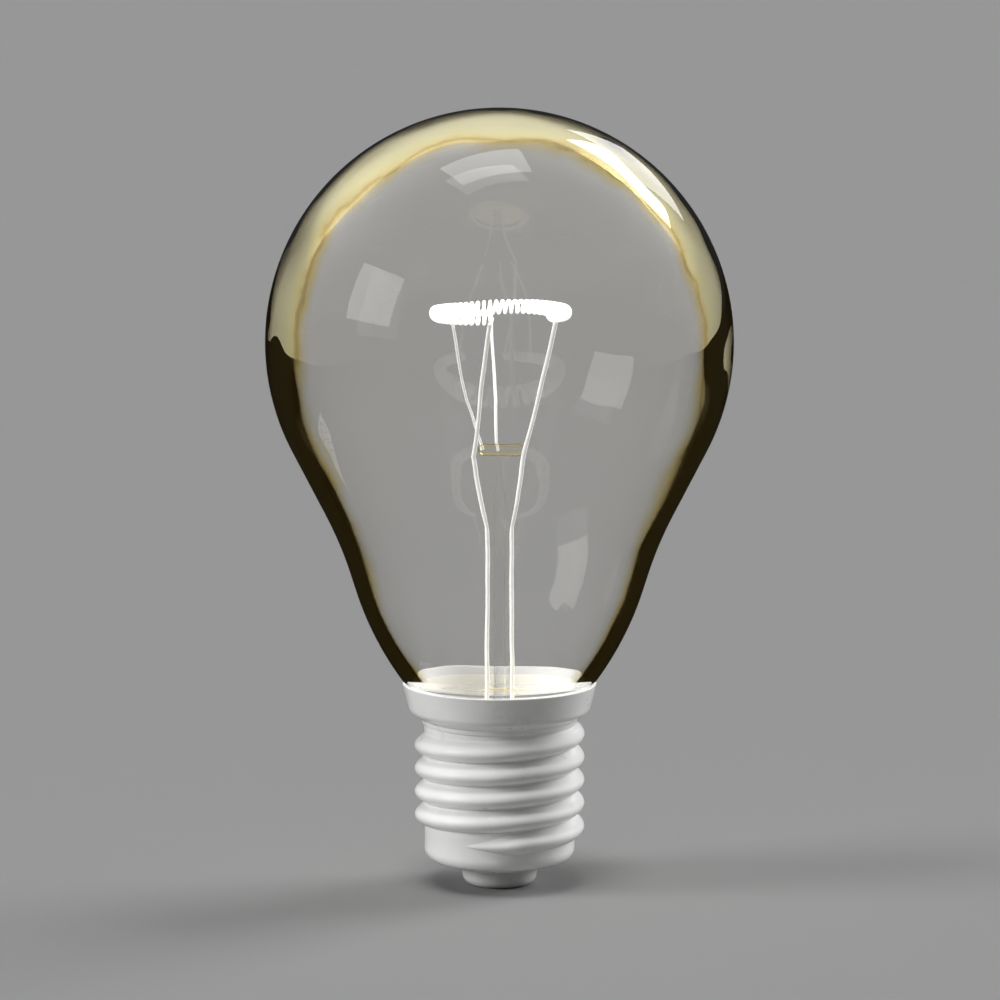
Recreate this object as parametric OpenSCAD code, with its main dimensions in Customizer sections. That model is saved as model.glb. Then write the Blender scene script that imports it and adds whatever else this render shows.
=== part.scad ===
// Clear glass light bulb with a screw cap, standing upright on its centre contact.
// The origin is the middle of the contact's flat underside, and +Z runs up the bulb's axis.

/* [Glass bulb] */
// Outer radius of the round top
bulb_r = 35.8; // [34:0.1:37]
// Height of the ball's centre
bulb_centre_z = 84.3; // [83:0.1:86]
// Slope where the ball runs into the straight shoulder, from the vertical
shoulder_slope = 27.2; // [25:0.1:29]
// Length of the straight shoulder
shoulder_run = 11.2; // [10:0.1:12]
// Radius of the hollow curve at the waist
waist_r = 58.6; // [55:0.1:62]
// Slope at the waist, from the vertical
waist_slope = 17.6; // [16:0.1:19]
// Length of the straight piece at the waist
waist_run = 3; // [2:0.1:4]
// Radius of the curve that closes in on the cap
throat_r = 49; // [47:0.1:52]
// Wall thickness of the ball
crown_wall = 4.45; // [3:0.05:5]
// Wall thickness of the neck
neck_wall = 2.4; // [1.5:0.05:3]
// Height of the neck's lower end, where the stem is sealed on
seal_z = 28.8; // [28.6:0.1:29]
// Radius of the neck's lower end
seal_r = 13.75; // [13.7:0.05:13.8]

/* [Stem] */
// Outer diameter of the stem tube
stem_d = 3.16; // [3:0.02:3.2]
// Bore below the step
stem_bore_d = 2.4; // [2:0.1:2.6]
// Bore above the step
stem_thin_bore_d = 1.66; // [1.2:0.02:1.8]
// Height of the step in the bore
stem_step_z = 49; // [45:0.5:52]
// Height where the tube starts to spread into the flat press
press_z = 57.3; // [56:0.1:58]
// Height of the bead along the top of the press
bead_z = 68.65; // [68:0.05:69]
// Diameter of the bead
bead_d = 2.08; // [1.8:0.02:2.4]
// Length of the bead
bead_length = 7.3; // [6.5:0.1:7.5]
// How far the bead sits to the right of the axis
bead_shift = 0.35; // [0:0.05:0.4]
// Thickness of the press under the bead
press_thickness = 1.6; // [1.4:0.1:1.9]

/* [Wires] */
// Diameter of the lead wires
lead_d = 0.66; // [0.5:0.02:0.7]
// Distance of the lead wires from the axis beside the tube
lead_x = 1.93; // [1.92:0.01:2.1]
// Diameter of the support wires
support_d = 0.46; // [0.3:0.02:0.5]
// Diameter of the wires inside the cap
cap_wire_d = 0.5; // [0.4:0.05:0.6]

/* [Filament] */
// Radius of the ring that the filament bends along
ring_r = 9.66; // [9:0.02:10]
// Height of the ring
ring_z = 89.3; // [88:0.1:91]
// Outside diameter of the coil
coil_d = 2.32; // [2:0.02:2.6]
// Inside diameter of the coil
coil_bore_d = 0.96; // [0.8:0.02:1.2]
// Angle of the coil's end at the front right
coil_start = -38; // [-42:1:-34]
// Angle that the coil runs through, round the back and the left
coil_sweep = 302; // [296:1:304]

/* [Cap] */
// Radius at the bottom of the thread
root_r = 11.63; // [11.5:0.01:11.8]
// Radius over the crest of the thread
crest_r = 13.15; // [13.03:0.01:13.22]
// Pitch of the thread
pitch = 3.63; // [3.62:0.01:3.64]
// Height of the crest at the lower end of the thread
thread_z = 7.88; // [7.8:0.02:8]
// Thickness of the rolled sheet
sheet = 0.3; // [0.25:0.05:0.35]
// Radius of the rim
rim_r = 15; // [14.95:0.05:15.1]
// Height of the rim
rim_z = 31.6; // [31.5:0.1:31.8]
// Radius of the inward-turned lower edge
cap_edge_r = 9.8; // [9:0.1:10]
// Height of the lower edge
cap_edge_z = 3.9; // [3.8:0.1:4]

/* [Contact] */
// Radius of the flat underside
contact_flat_r = 4.25; // [4:0.05:4.4]
// Radius of the rounded side
contact_round = 1.5; // [1.4:0.1:1.6]
// Radius of the contact's upper edge
contact_top_r = 5.95; // [5.9:0.05:6]
// Height of the contact's upper edge
contact_top_z = 2.7; // [2.6:0.1:2.8]
// Thickness of the contact
contact_sheet = 0.4; // [0.3:0.05:0.5]
// Radius of the soldered hole
contact_hole_r = 1.1; // [1:0.05:1.3]

/* [Hidden] */
$fn = 64;

// ---------- shared shapes ----------

// Points on an arc, from one angle to another, with both ends
function arc(centre, r, from, to, steps) = [
    for (k = [0 : steps])
        let (a = from + (to - from) * k / steps)
        [centre[0] + r * cos(a), centre[1] + r * sin(a)]
];

// All the items of a list from one index on
function tail(list, first) = [for (k = [first : len(list) - 1]) list[k]];

// A list in the opposite order
function backwards(list) = [for (k = [len(list) - 1 : -1 : 0]) list[k]];

// A round wire through a list of points, with a slightly fuller ball at each bend
module wire(points, d) {
    for (k = [0 : len(points) - 2]) {
        run = points[k + 1] - points[k];
        translate(points[k])
            rotate([0, acos(run[2] / norm(run)), atan2(run[1], run[0])]) {
                cylinder(h = norm(run), d = d, $fn = 24);
                if (k > 0) sphere(d = 1.05 * d, $fn = 24);
            }
    }
}

// ---------- glass bulb ----------

// The bulb's outline is made of stretches, each a list of [radius, height, tilt of the surface].
// An arc stretch bends about a centre on the inside of the glass, or on the outside.
function bent_in(centre, r, from, to, steps) = [
    for (k = [0 : steps])
        let (a = from + (to - from) * k / steps)
        [centre[0] + r * cos(a), centre[1] + r * sin(a), a]
];
function bent_out(centre, r, from, to, steps) = [
    for (k = [0 : steps])
        let (a = from + (to - from) * k / steps)
        [centre[0] - r * cos(a), centre[1] - r * sin(a), a]
];

// Where each stretch starts, from the ball down to the neck
shoulder_a = [bulb_r * cos(shoulder_slope), bulb_centre_z - bulb_r * sin(shoulder_slope)];
shoulder_b = shoulder_a - shoulder_run * [sin(shoulder_slope), cos(shoulder_slope)];
waist_c = shoulder_b + waist_r * [cos(shoulder_slope), -sin(shoulder_slope)];
waist_a = waist_c - waist_r * [cos(waist_slope), -sin(waist_slope)];
waist_b = waist_a - waist_run * [sin(waist_slope), cos(waist_slope)];
throat_c = waist_b - throat_r * [cos(waist_slope), -sin(waist_slope)];
tuck_z = rim_z + 0.35;
throat_slope = asin((throat_c[1] - tuck_z) / throat_r);
seal_slope = 15;

outer_line = concat(
    bent_in([0, bulb_centre_z], bulb_r, 90, 0, 24),
    tail(bent_in([0, bulb_centre_z], bulb_r, 0, -shoulder_slope, 8), 1),
    bent_out(waist_c, waist_r, -shoulder_slope, -waist_slope, 5),
    bent_in(throat_c, throat_r, -waist_slope, -throat_slope, 8),
    [[seal_r + (rim_z - seal_z) * tan(seal_slope), rim_z, -seal_slope]],
    [[seal_r, seal_z, -seal_slope]]
);

// The wall thins steadily from the ball down to the neck
function wall_at(z) =
    let (u = max(0, min(1, (z - rim_z) / (bulb_centre_z - rim_z))))
    neck_wall + (crown_wall - neck_wall) * pow(u, 0.8);
function inside_of(p) = let (t = wall_at(p[1])) [p[0] - t * cos(p[2]), p[1] - t * sin(p[2])];

inner_line = [for (p = outer_line) inside_of(p)];
neck_bore_r = seal_r - neck_wall / cos(seal_slope);

module glass_envelope() {
    outside = [for (p = outer_line) [p[0], p[1]]];
    inside = [for (p = inner_line) if (p[1] > seal_z) [max(p[0], 0), p[1]]];
    color([0.85, 0.8, 0.66, 0.35])
        rotate_extrude($fn = 96)
            polygon(concat(outside, [[neck_bore_r, seal_z]], backwards(inside)));
}

// ---------- stem ----------

flare_under_z = seal_z - 1.5;
flare_fillet = 1.2;
flare_rim = [[seal_r - 0.1, seal_z], [seal_r - 0.3, seal_z - 0.8], [seal_r - 1.4, flare_under_z]];

module flare() {
    tube_r = stem_d / 2;
    fillet = arc([tube_r + flare_fillet, seal_z + 0.8], flare_fillet, 180, 270, 6);
    lip_in = [[neck_bore_r - 0.4, seal_z - 0.5], [neck_bore_r, seal_z]];
    rotate_extrude()
        polygon(concat(fillet, lip_in, flare_rim, [[stem_bore_d / 2, flare_under_z]],
            [[stem_bore_d / 2, seal_z + 0.8]]));
}

// The flat press widens from inside the tube's closed end up to the bead along its top edge
press_root_z = press_z - 0.5;
press_root_half = 1.3;

module press() {
    half = bead_length / 2 - 0.35;
    translate([0, press_thickness / 2, 0]) rotate([90, 0, 0])
        linear_extrude(height = press_thickness)
            polygon([
                [-press_root_half, press_root_z], [press_root_half, press_root_z],
                [bead_shift + half, bead_z], [bead_shift - half, bead_z]
            ]);
}

module bead() {
    half = (bead_length - bead_d) / 2;
    translate([bead_shift - half, 0, bead_z]) rotate([0, 90, 0])
        cylinder(h = 2 * half, d = bead_d, $fn = 32);
    for (side = [-1, 1])
        translate([bead_shift + side * half, 0, bead_z]) sphere(d = bead_d, $fn = 32);
}

module stem_glass() {
    color([0.86, 0.84, 0.74, 0.4])
        difference() {
            union() {
                flare();
                translate([0, 0, seal_z]) cylinder(h = press_z - seal_z, d = stem_d, $fn = 32);
                press();
                bead();
            }
            translate([0, 0, flare_under_z - 1])
                cylinder(h = stem_step_z - flare_under_z + 1, d = stem_bore_d, $fn = 32);
            translate([0, 0, stem_step_z - 1])
                cylinder(h = bead_z - bead_d - stem_step_z, d = stem_thin_bore_d, $fn = 32);
            wire(seal_left_route, lead_d);
            wire(seal_right_route, lead_d);
            wire(lead_left_route, lead_d);
            wire(lead_right_route, lead_d);
            wire(support_left_route, support_d);
            wire(support_rear_route, support_d);
        }
}

// The tube that the bulb was pumped through, melted shut inside the cap
tip_z = 14;
tip_wall = (stem_d - stem_bore_d) / 2;

module exhaust_tip() {
    r = stem_d / 2;
    color([0.86, 0.84, 0.74, 0.4])
        rotate_extrude($fn = 32)
            polygon([
                [0, tip_z], [0.5, tip_z + 0.3], [r, tip_z + 3], [r, flare_under_z],
                [r - tip_wall, flare_under_z], [r - tip_wall, tip_z + 3.4], [0, tip_z + 1.2]
            ]);
}

// ---------- wires ----------

seal_top_z = seal_z + 1;
seal_low_z = 26.4;
coil_low_z = ring_z - coil_d / 2;
lead_left_tip = ring_r * [cos(262), sin(262)];
lead_right_tip = ring_r * [cos(-30), sin(-30)];
support_left_tip = ring_r * [cos(222), sin(222)];
support_rear_tip = ring_r * [cos(97), sin(97)];
embed = 0.25;

lead_left_route = [
    [-lead_x, 0, seal_top_z], [-lead_x, 0, press_z], [-3.91, -0.75, 67.6],
    [lead_left_tip[0], lead_left_tip[1], coil_low_z + embed]
];
lead_right_route = [
    [lead_x, 0, seal_top_z], [lead_x, 0, press_z], [3.76, -1.38, 68.2],
    [lead_right_tip[0], lead_right_tip[1], coil_low_z + embed]
];
seal_left_route = [[-lead_x, 0, seal_low_z], [-lead_x, 0, seal_top_z]];
seal_right_route = [[lead_x, 0, seal_low_z], [lead_x, 0, seal_top_z]];
support_left_route = [
    [-2.5, 0, 68.6], [-2.9, 0.1, 69.9], [-4.94, -2.5, 76.4],
    [support_left_tip[0], support_left_tip[1], coil_low_z + embed]
];
support_rear_route = [
    [-0.1, 0, 68.5], [-0.4, 0.2, 69.9], [-0.3, 2.5, 76],
    [support_rear_tip[0], support_rear_tip[1], coil_low_z + embed]
];

// The bent bar of space that the coiled filament fills
module coil_space() {
    translate([0, 0, ring_z]) rotate([0, 0, coil_start])
        rotate_extrude(angle = coil_sweep, $fn = 72)
            translate([ring_r, 0]) circle(d = coil_d, $fn = 32);
}

// A wire whose end is cut to sit against the underside of the coil
module wire_to_coil(route, d) {
    difference() {
        wire(route, d);
        coil_space();
    }
}

module lead_wire_left() { color([0.9, 0.9, 0.88]) wire_to_coil(lead_left_route, lead_d); }
module lead_wire_right() { color([0.9, 0.9, 0.88]) wire_to_coil(lead_right_route, lead_d); }
module seal_wire_left() { color([0.85, 0.6, 0.5]) wire(seal_left_route, lead_d); }
module seal_wire_right() { color([0.85, 0.6, 0.5]) wire(seal_right_route, lead_d); }
module support_wire_left() { color([0.88, 0.88, 0.86]) wire_to_coil(support_left_route, support_d); }
module support_wire_rear() { color([0.88, 0.88, 0.86]) wire_to_coil(support_rear_route, support_d); }

module filament() {
    color([1, 1, 0.97])
        translate([0, 0, ring_z]) rotate([0, 0, coil_start])
            rotate_extrude(angle = coil_sweep, $fn = 72)
                translate([ring_r, 0])
                    difference() {
                        circle(d = coil_d, $fn = 32);
                        circle(d = coil_bore_d, $fn = 32);
                    }
}

// The lead to the centre contact passes the tip and goes down through the insulator
centre_route = [
    [-lead_x, 0, seal_low_z], [-2.6, 0, 22], [-2.6, 0, 14.5], [0, 0, 9.5], [0, 0, contact_sheet]
];

// The lead to the shell crosses under the cement and ends on the plain wall above the thread's end
solder_r = 0.9;
solder_angle = 100;
solder_z = 24.2;
solder_reach = root_r - sheet - 0.3;
solder_at = [solder_reach * cos(solder_angle), solder_reach * sin(solder_angle), solder_z];
side_route = [[lead_x, 0, seal_low_z], [2.6, 1.2, 24.6], [1, 6, solder_z], solder_at];

module outer_lead_centre() { color([0.8, 0.5, 0.35]) wire(centre_route, cap_wire_d); }
module outer_lead_side() { color([0.8, 0.5, 0.35]) wire(side_route, cap_wire_d); }

module side_solder() {
    color([0.75, 0.75, 0.77])
        difference() {
            translate(solder_at) sphere(r = solder_r, $fn = 32);
            rotate([0, 0, solder_angle])
                translate([root_r - sheet - 0.08, -5, solder_z - 4]) cube([5, 10, 8]);
            wire(side_route, cap_wire_d);
        }
}

// ---------- cap ----------

// The shell is one rolled sheet: a lower edge, a round thread and a flared rim.
// Its points stand in columns round the axis, and every list below runs from the bottom up.
cols = 36;
thread_cols = 165;
first_angle = -120;
ridge_rows = 6;
run_out_in = 0.14 * cols;
run_out_out = 0.2 * cols;
ridge_fill = 0.92;
corner_r = 0.7;
neck_top_z = 25.55;
under_z = 26.15;
taper_end = [14.1, 27.96];
taper_slope = atan((rim_r - taper_end[0]) / (rim_z - taper_end[1]));
turn_r = 1.75;
turn_c = taper_end - turn_r * [cos(taper_slope), -sin(taper_slope)];
turn_from = -68;
bead_step = 0.2;
throat_step = 0.45;

function column_angle(i) = first_angle + 360 * i / cols;
function on_axis(r, i, z) = [r * cos(column_angle(i)), r * sin(column_angle(i)), z];

// How much of its full size the thread has at a column, from nothing at both its ends
function grown(i) = max(0, min(1, i / run_out_in, (thread_cols - i) / run_out_out));
function crest_z(i) = thread_z + pitch * i / cols;
function ridge_point(i, j, inset) =
    let (u = j / ridge_rows, size = grown(i))
    on_axis(
        root_r - inset + (crest_r - root_r) * size * sin(180 * u),
        i,
        crest_z(i) + (u - 0.5) * pitch * ridge_fill * (0.12 + 0.88 * size)
    );

// Rings below and above the thread, as [radius, height]
function low_rings(inset) = concat(
    [[cap_edge_r, cap_edge_z + inset]],
    arc([root_r - corner_r, cap_edge_z + corner_r], corner_r - inset, -90, 0, 3)
);
function high_rings(inset) = concat(
    [[root_r - inset, neck_top_z], [root_r + bead_step - inset, neck_top_z + 0.12]],
    [[root_r + bead_step - inset, under_z - 0.15 + inset / 2]],
    [[root_r + throat_step - inset, under_z + inset / 2]],
    arc(turn_c, turn_r - inset, turn_from, -taper_slope, 3),
    [[rim_r - inset, rim_z]]
);

low_count = len(low_rings(0));
high_count = len(high_rings(0));
ridge_count = (thread_cols + 1) * (ridge_rows + 1);
side_count = ridge_count + (low_count + high_count) * cols;

// All the points of one side of the sheet: the ridge, then the rings
function side_points(inset) = concat(
    [for (i = [0 : thread_cols]) for (j = [0 : ridge_rows]) ridge_point(i, j, inset)],
    [for (ring = low_rings(inset)) for (i = [0 : cols - 1]) on_axis(ring[0], i, ring[1])],
    [for (ring = high_rings(inset)) for (i = [0 : cols - 1]) on_axis(ring[0], i, ring[1])]
);

// Index of a point on the ridge, on a low ring and on a high ring
function at_ridge(i, j) = i * (ridge_rows + 1) + j;
function at_low(k, i) = ridge_count + k * cols + i % cols;
function at_high(k, i) = ridge_count + (low_count + k) * cols + i % cols;

// Two triangles between two neighbouring points below and two above
function patch(low_a, low_b, high_b, high_a) = [[low_a, high_b, low_b], [low_a, high_a, high_b]];

// Triangles between a line of points, read upwards on its right, and two points on its left
function seam(low_left, high_left, line) = concat(
    [for (k = [0 : len(line) - 2]) [low_left, line[k + 1], line[k]]],
    [[low_left, high_left, line[len(line) - 1]]]
);
function flat_list(lists) = [for (list = lists) for (item = list) item];

first_top = thread_cols - cols;
side_faces = concat(
    // the ridge, and the root between one turn and the next
    flat_list([
        for (i = [0 : thread_cols - 1]) for (j = [0 : ridge_rows - 1])
            patch(at_ridge(i, j), at_ridge(i + 1, j), at_ridge(i + 1, j + 1), at_ridge(i, j + 1))
    ]),
    flat_list([
        for (i = [0 : first_top - 1])
            patch(at_ridge(i, ridge_rows), at_ridge(i + 1, ridge_rows),
                at_ridge(i + 1 + cols, 0), at_ridge(i + cols, 0))
    ]),
    // plain rings below the thread
    flat_list([
        for (k = [0 : low_count - 2]) for (i = [0 : cols - 1])
            patch(at_low(k, i), at_low(k, i + 1), at_low(k + 1, i + 1), at_low(k + 1, i))
    ]),
    // from the last low ring up to the first turn, closed with one face at the thread's end
    flat_list([
        for (i = [0 : cols - 2])
            patch(at_low(low_count - 1, i), at_low(low_count - 1, i + 1), at_ridge(i + 1, 0), at_ridge(i, 0))
    ]),
    seam(at_low(low_count - 1, cols - 1), at_ridge(cols - 1, 0), concat(
        [at_low(low_count - 1, 0)],
        [for (j = [0 : ridge_rows]) at_ridge(0, j)],
        [at_ridge(cols, 0)]
    )),
    // from the last turn up to the first high ring, closed in the same way
    seam(at_high(0, first_top + 1), at_ridge(first_top + 1, ridge_rows), concat(
        [at_high(0, first_top)],
        [for (j = [ridge_rows : -1 : 0]) at_ridge(thread_cols, j)],
        [at_ridge(first_top, ridge_rows)]
    )),
    flat_list([
        for (i = [first_top + 1 : thread_cols - 1])
            patch(at_ridge(i, ridge_rows), at_ridge(i + 1, ridge_rows), at_high(0, i + 1), at_high(0, i))
    ]),
    // plain rings above the thread
    flat_list([
        for (k = [0 : high_count - 2]) for (i = [0 : cols - 1])
            patch(at_high(k, i), at_high(k, i + 1), at_high(k + 1, i + 1), at_high(k + 1, i))
    ])
);

module cap_shell() {
    inner_faces = [for (face = side_faces) [for (p = backwards(face)) p + side_count]];
    top = high_count - 1;
    rims = flat_list([
        for (i = [0 : cols - 1]) concat(
            patch(at_high(top, i), at_high(top, i + 1),
                side_count + at_high(top, i + 1), side_count + at_high(top, i)),
            patch(side_count + at_low(0, i), side_count + at_low(0, i + 1),
                at_low(0, i + 1), at_low(0, i))
        )
    ]);
    color([0.93, 0.93, 0.92])
        polyhedron(
            points = concat(side_points(0), side_points(sheet)),
            faces = concat(side_faces, inner_faces, rims),
            convexity = 8
        );
}

// Cement that holds the bulb's neck in the cap
cement_gap = 0.12;
cement_hole_r = 2.6;
cement_low_z = under_z + sheet + 0.05;
cement_top_z = rim_z - 1.3;

module basing_cement() {
    reach = turn_r - sheet - cement_gap;
    neck_at_top = seal_r + (cement_top_z - seal_z) * tan(seal_slope);
    color([0.95, 0.9, 0.76])
        rotate_extrude()
            polygon(concat(
                [[cement_hole_r, cement_low_z], [root_r + throat_step - sheet - cement_gap, cement_low_z]],
                arc(turn_c, reach, turn_from, -taper_slope, 4),
                [[neck_at_top + 0.09, cement_top_z], [neck_at_top, cement_top_z], [seal_r, seal_z]],
                flare_rim,
                [[cement_hole_r, flare_under_z]]
            ));
}

insulator_hole_r = 0.7;

module cap_insulator() {
    boss = arc([contact_flat_r, contact_round], contact_round - contact_sheet, -90, 0, 5);
    color([0.9, 0.9, 0.88])
        rotate_extrude()
            polygon(concat(
                [[insulator_hole_r, contact_sheet]],
                boss,
                [[contact_top_r - contact_sheet, contact_top_z], [contact_top_r, contact_top_z]],
                [[cap_edge_r - 0.05, cap_edge_z - 0.05], [cap_edge_r - 0.05, cap_edge_z + sheet + 0.05]],
                [[root_r - corner_r, cap_edge_z + sheet + 0.05], [root_r - sheet - 0.08, 4.9]],
                [[root_r - sheet - 0.08, 6.2], [6, 7.4], [insulator_hole_r, 7.4]]
            ));
}

module centre_contact() {
    outside = arc([contact_flat_r, contact_round], contact_round, -90, 0, 5);
    inside = arc([contact_flat_r, contact_round], contact_round - contact_sheet, 0, -90, 5);
    color([0.86, 0.86, 0.85])
        rotate_extrude()
            polygon(concat(
                [[contact_hole_r, 0]],
                outside,
                [[contact_top_r, contact_top_z], [contact_top_r - contact_sheet, contact_top_z]],
                inside,
                [[contact_hole_r, contact_sheet]]
            ));
}

module contact_solder() {
    color([0.75, 0.75, 0.77]) cylinder(h = contact_sheet, r = contact_hole_r);
}

glass_envelope();
stem_glass();
exhaust_tip();
lead_wire_left();
lead_wire_right();
seal_wire_left();
seal_wire_right();
support_wire_left();
support_wire_rear();
filament();
outer_lead_side();
outer_lead_centre();
side_solder();
cap_shell();
basing_cement();
cap_insulator();
centre_contact();
contact_solder();
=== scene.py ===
import math

import bmesh
import bpy
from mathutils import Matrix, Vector, noise


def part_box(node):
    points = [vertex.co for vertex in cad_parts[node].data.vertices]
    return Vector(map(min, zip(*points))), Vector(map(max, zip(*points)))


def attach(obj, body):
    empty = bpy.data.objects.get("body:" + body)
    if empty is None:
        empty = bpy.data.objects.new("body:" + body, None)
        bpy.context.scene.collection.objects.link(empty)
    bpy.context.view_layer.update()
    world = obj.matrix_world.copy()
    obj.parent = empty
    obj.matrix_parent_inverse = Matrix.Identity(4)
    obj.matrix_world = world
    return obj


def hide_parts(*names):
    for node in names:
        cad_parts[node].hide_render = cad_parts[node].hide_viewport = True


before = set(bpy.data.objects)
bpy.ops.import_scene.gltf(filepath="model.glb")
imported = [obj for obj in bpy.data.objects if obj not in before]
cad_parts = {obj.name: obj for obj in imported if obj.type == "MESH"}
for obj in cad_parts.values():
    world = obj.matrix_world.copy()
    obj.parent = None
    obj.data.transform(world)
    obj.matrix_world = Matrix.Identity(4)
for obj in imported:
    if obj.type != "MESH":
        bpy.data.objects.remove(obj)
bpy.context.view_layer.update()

# A burnt-out light bulb: thick clear glass that is amber where it is seen edge on,
# a white coiled filament on four wires, a glass stem and a white screw cap.
# Everything is in metres. MM turns a size in millimetres into metres.

MM = 0.001
BODY = "root"

glass_low, glass_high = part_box("glass_envelope")
coil_low, coil_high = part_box("filament")
cap_low, cap_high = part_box("cap_shell")


# ---------------------------------------------------------------- small tools

def link(obj):
    """Puts an object in the scene."""
    bpy.context.scene.collection.objects.link(obj)
    return obj


def mesh_object(name, points, faces):
    """A smooth-shaded mesh object from points and faces."""
    mesh = bpy.data.meshes.new(name)
    mesh.from_pydata([tuple(p) for p in points], [], faces)
    mesh.validate()
    obj = link(bpy.data.objects.new(name, mesh))
    tidy(obj)
    return obj


def tidy(obj):
    """Merges doubled points, turns every face outwards and shades the mesh smooth between its creases."""
    bm = bmesh.new()
    bm.from_mesh(obj.data)
    bmesh.ops.remove_doubles(bm, verts=bm.verts, dist=1e-7)
    bmesh.ops.recalc_face_normals(bm, faces=bm.faces)
    bm.to_mesh(obj.data)
    bm.free()
    obj.data.shade_smooth()
    obj.data.set_sharp_from_angle(angle=math.radians(44))


def set_piece(obj, material, slot, *nodes):
    """Gives a finished piece its material, and lets it stand for its CAD nodes. The slot is not used."""
    obj.data.materials.clear()
    obj.data.materials.append(material)
    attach(obj, BODY)
    if nodes:
        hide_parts(*nodes)
    return obj


def arc(centre, radius, start, end, steps):
    """Points on an arc in the (radius, height) plane, angles in degrees."""
    turn = [math.radians(start + (end - start) * k / steps) for k in range(steps + 1)]
    return [(centre[0] + radius * math.cos(a), centre[1] + radius * math.sin(a)) for a in turn]


def revolved(name, outline, columns, shift=None):
    """A closed outline of (radius, height) points in millimetres, spun round the z axis.
    shift(radius, height, angle) may give a new (radius, height) for a point."""
    points = []
    for column in range(columns):
        angle = 2 * math.pi * column / columns
        for radius, height in outline:
            r, z = shift(radius, height, angle) if shift else (radius, height)
            points.append((r * MM * math.cos(angle), r * MM * math.sin(angle), z * MM))
    count = len(outline)
    faces = []
    for column in range(columns):
        here, there = column * count, (column + 1) % columns * count
        for k in range(count):
            after = (k + 1) % count
            if outline[k][0] < 1e-6 and outline[after][0] < 1e-6:
                continue
            faces.append((here + k, there + k, there + after, here + after))
    return mesh_object(name, points, faces)


def smooth(share):
    """Eases a share from 0 to 1, and holds it there outside that range."""
    share = max(0.0, min(1.0, share))
    return share * share * (3 - 2 * share)


def tube_faces(first, last, sides):
    """Faces between the rings of points from first to last, with both ends closed."""
    faces = []
    for j in range(first, last):
        for k in range(sides):
            n = (k + 1) % sides
            faces.append((j * sides + k, j * sides + n, (j + 1) * sides + n, (j + 1) * sides + k))
    faces.append(tuple(first * sides + k for k in range(sides)))
    faces.append(tuple(last * sides + k for k in range(sides - 1, -1, -1)))
    return faces


def mark_outside(obj, share_at):
    """Stores on every point how strongly the glass takes its tint, with any painted edge lines, there: 0 inside the
    bulb, about 1 outside.
    """
    mark = obj.data.attributes.new("outside", "FLOAT", "POINT")
    for vertex, value in zip(obj.data.vertices, mark.data):
        value.value = share_at(vertex.co)


# ---------------------------------------------------------------- shader tools

def new_material(name):
    """A node material with a Principled BSDF, and its tree and shader."""
    material = bpy.data.materials.new(name)
    material.use_nodes = True
    tree = material.node_tree
    return material, tree, tree.nodes["Principled BSDF"]


def add(tree, kind, inputs=None, **settings):
    """A node with its settings, and its inputs set to values or linked to sockets."""
    node = tree.nodes.new(kind)
    for key, value in settings.items():
        setattr(node, key, value)
    for key, value in (inputs or {}).items():
        if isinstance(value, bpy.types.NodeSocket):
            tree.links.new(value, node.inputs[key])
        else:
            node.inputs[key].default_value = value
    return node


def maths(tree, operation, *values):
    """One sum of values or sockets."""
    node = tree.nodes.new("ShaderNodeMath")
    node.operation = operation
    for socket, value in zip(node.inputs, values):
        if isinstance(value, bpy.types.NodeSocket):
            tree.links.new(value, socket)
        else:
            socket.default_value = value
    return node.outputs[0]


def ramp(tree, factor, stops):
    """A colour ramp with its stops given as (position, colour)."""
    node = add(tree, "ShaderNodeValToRGB", {"Fac": factor})
    elements = node.color_ramp.elements
    while len(elements) < len(stops):
        elements.new(0.5)
    for element, (position, colour) in zip(elements, stops):
        element.position = position
        element.color = (*colour, 1) if len(colour) == 3 else colour
    return node.outputs["Color"]


def grey(value):
    return (value, value, value)


def new_group(name, inputs, outputs):
    """A shader node group with named sockets, and its input and output nodes."""
    group = bpy.data.node_groups.new(name, "ShaderNodeTree")
    for label, kind, value in inputs:
        socket = group.interface.new_socket(label, in_out="INPUT", socket_type=kind)
        socket.default_value = value
    for label, kind in outputs:
        group.interface.new_socket(label, in_out="OUTPUT", socket_type=kind)
    return group, group.nodes.new("NodeGroupInput"), group.nodes.new("NodeGroupOutput")


def mottle_group():
    """Soft uneven patches with fine grain on top: a value for colour and a height for bump."""
    group, entry, leave = new_group(
        "mottle",
        [("Patch Scale", "NodeSocketFloat", 60.0), ("Grain Scale", "NodeSocketFloat", 900.0),
         ("Grain Share", "NodeSocketFloat", 0.4)],
        [("Patches", "NodeSocketFloat"), ("Height", "NodeSocketFloat")],
    )
    where = add(group, "ShaderNodeTexCoord").outputs["Object"]
    patches = add(group, "ShaderNodeTexNoise",
                  {"Vector": where, "Scale": entry.outputs["Patch Scale"], "Detail": 4.0, "Roughness": 0.55})
    grain = add(group, "ShaderNodeTexNoise",
                {"Vector": where, "Scale": entry.outputs["Grain Scale"], "Detail": 2.0})
    height = add(group, "ShaderNodeMix",
                 {"Factor": entry.outputs["Grain Share"], "A": patches.outputs["Fac"], "B": grain.outputs["Fac"]})
    group.links.new(patches.outputs["Fac"], leave.inputs["Patches"])
    group.links.new(height.outputs["Result"], leave.inputs["Height"])
    return group


MOTTLE = mottle_group()


def placed(tree, group, *values):
    """Places a node group in a material, with the values of its inputs in order."""
    node = tree.nodes.new("ShaderNodeGroup")
    node.node_tree = group
    for socket, value in zip(node.inputs, values):
        socket.default_value = value
    return node


def bumped(tree, shader, height, strength, distance):
    """Feeds a height into a shader's normal."""
    bump = add(tree, "ShaderNodeBump", {"Height": height, "Strength": strength, "Distance": distance})
    tree.links.new(bump.outputs["Normal"], shader.inputs["Normal"])


# ---------------------------------------------------------------- materials

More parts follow.
